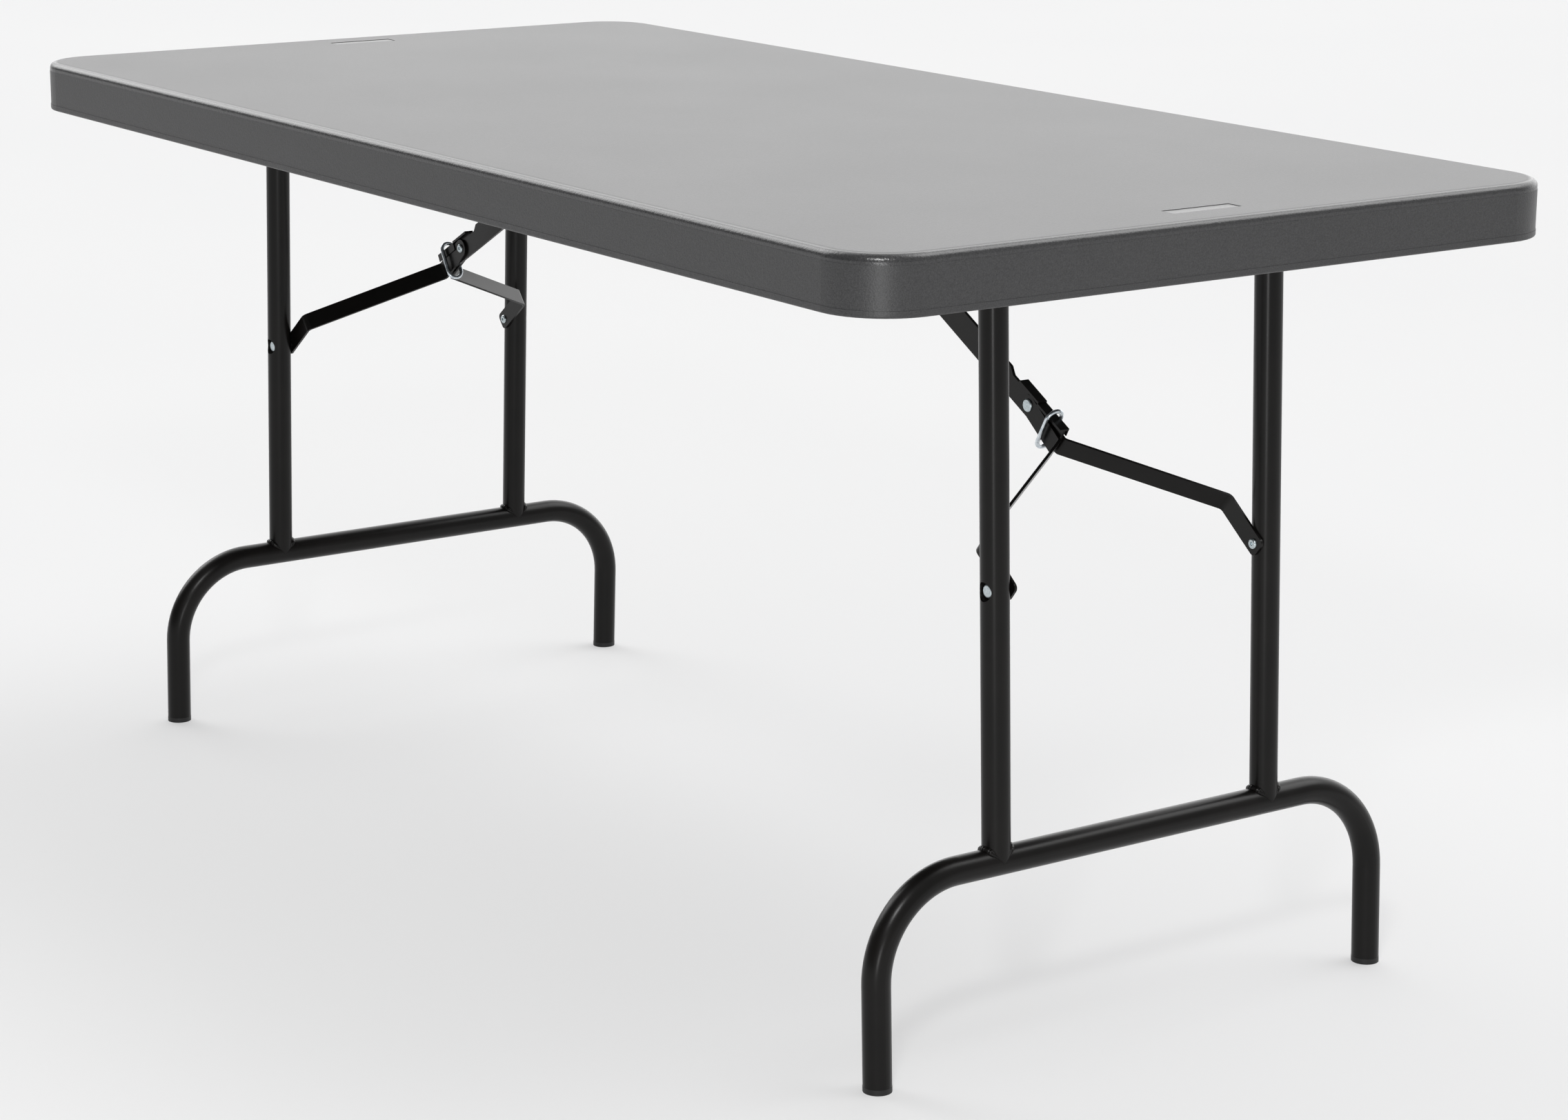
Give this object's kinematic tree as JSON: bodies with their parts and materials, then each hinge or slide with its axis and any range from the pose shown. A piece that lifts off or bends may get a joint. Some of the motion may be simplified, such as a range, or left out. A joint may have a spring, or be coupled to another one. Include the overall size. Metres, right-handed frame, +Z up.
{
  "type": "folding table",
  "caption": "Rectangular folding table with a hollow moulded plastic top and two folding tubular steel wishbone leg frames with ring-locked braces.",
  "frame": {"origin": "on the floor, under the middle of the top", "axes": "+X along the length of the top, +Y across its width, +Z up"},
  "size_m": [1.524, 0.762, 0.7366],
  "materials": {
    "charcoal_polyethylene": "fine grained blow-moulded high-density polyethylene",
    "black_powder_coat": "satin black powder coat on steel",
    "zinc_plated_steel": "blue-white zinc plate",
    "bright_zinc_wire": "bright zinc plate on drawn wire",
    "black_cap_plastic": "matt black moulded polyethylene",
    "black_nylon": "moulded black nylon"
  },
  "bodies": {
    "top": {"tabletop": "charcoal_polyethylene", "right_pivot_bushes": "black_nylon", "right_pivot_straps": "black_powder_coat", "right_pivot_screws": "zinc_plated_steel", "right_link_bracket": "black_powder_coat", "right_link_pin": "zinc_plated_steel", "right_bracket_screws": "zinc_plated_steel", "left_pivot_bushes": "black_nylon", "left_pivot_straps": "black_powder_coat", "left_pivot_screws": "zinc_plated_steel", "left_link_bracket": "black_powder_coat", "left_link_pin": "zinc_plated_steel", "left_bracket_screws": "zinc_plated_steel"},
    "right_legs": {"right_front_upright": "black_powder_coat", "right_back_upright": "black_powder_coat", "right_foot_tube": "black_powder_coat", "right_pivot_tube": "black_powder_coat", "right_pivot_plugs": "black_cap_plastic", "right_welds": "black_powder_coat", "right_foot_caps": "black_cap_plastic", "right_leg_rivets": "zinc_plated_steel"},
    "right_link": {"right_upper_link": "black_powder_coat", "right_knuckle_rivet": "zinc_plated_steel"},
    "right_arms": {"right_front_arm": "black_powder_coat", "right_back_arm": "black_powder_coat", "right_arm_rivets": "zinc_plated_steel"},
    "right_ring": {"right_lock_ring": "bright_zinc_wire"},
    "left_legs": {"left_front_upright": "black_powder_coat", "left_back_upright": "black_powder_coat", "left_foot_tube": "black_powder_coat", "left_pivot_tube": "black_powder_coat", "left_pivot_plugs": "black_cap_plastic", "left_welds": "black_powder_coat", "left_foot_caps": "black_cap_plastic", "left_leg_rivets": "zinc_plated_steel"},
    "left_link": {"left_upper_link": "black_powder_coat", "left_knuckle_rivet": "zinc_plated_steel"},
    "left_arms": {"left_front_arm": "black_powder_coat", "left_back_arm": "black_powder_coat", "left_arm_rivets": "zinc_plated_steel"},
    "left_ring": {"left_lock_ring": "bright_zinc_wire"}
  },
  "joints": [
    {"name": "right_leg_fold", "type": "hinge", "parent": "top", "child": "right_legs", "pos_m": [0.63, 0, 0.694], "axis": [0, 1, 0], "range_deg": [0, 92.3]},
    {"name": "right_link_swing", "type": "hinge", "parent": "top", "child": "right_link", "pos_m": [0.2035, 0, 0.694], "axis": [0, -1, 0], "range_deg": [0, 29]},
    {"name": "right_arm_fold", "type": "hinge", "parent": "right_link", "child": "right_arms", "pos_m": [0.4958, 0, 0.53198], "axis": [0, 1, 0], "range_deg": [0, 170.42]},
    {"name": "right_ring_slide", "type": "slide", "parent": "right_link", "child": "right_ring", "axis": [-0.8746, 0, 0.4848], "range_m": [0, 0.2031]},
    {"name": "left_leg_fold", "type": "hinge", "parent": "top", "child": "left_legs", "pos_m": [-0.63, 0, 0.694], "axis": [0, -1, 0], "range_deg": [0, 89.6]},
    {"name": "left_link_swing", "type": "hinge", "parent": "top", "child": "left_link", "pos_m": [-0.2035, 0, 0.694], "axis": [0, 1, 0], "range_deg": [0, 28.74]},
    {"name": "left_arm_fold", "type": "hinge", "parent": "left_link", "child": "left_arms", "pos_m": [-0.4958, 0, 0.53198], "axis": [0, -1, 0], "range_deg": [0, 166.59]},
    {"name": "left_ring_slide", "type": "slide", "parent": "left_link", "child": "left_ring", "axis": [0.8746, 0, 0.4848], "range_m": [0, 0.1972]}
  ],
  "couplings": [
    {"joint": "right_link_swing", "follows": "right_leg_fold", "ratio": 0.31419},
    {"joint": "right_arm_fold", "follows": "right_leg_fold", "ratio": 1.8464},
    {"joint": "right_ring_slide", "follows": "right_leg_fold", "m_per_rad": 0.12605},
    {"joint": "left_link_swing", "follows": "left_leg_fold", "ratio": 0.32071},
    {"joint": "left_arm_fold", "follows": "left_leg_fold", "ratio": 1.8593},
    {"joint": "left_ring_slide", "follows": "left_leg_fold", "m_per_rad": 0.12605}
  ]
}
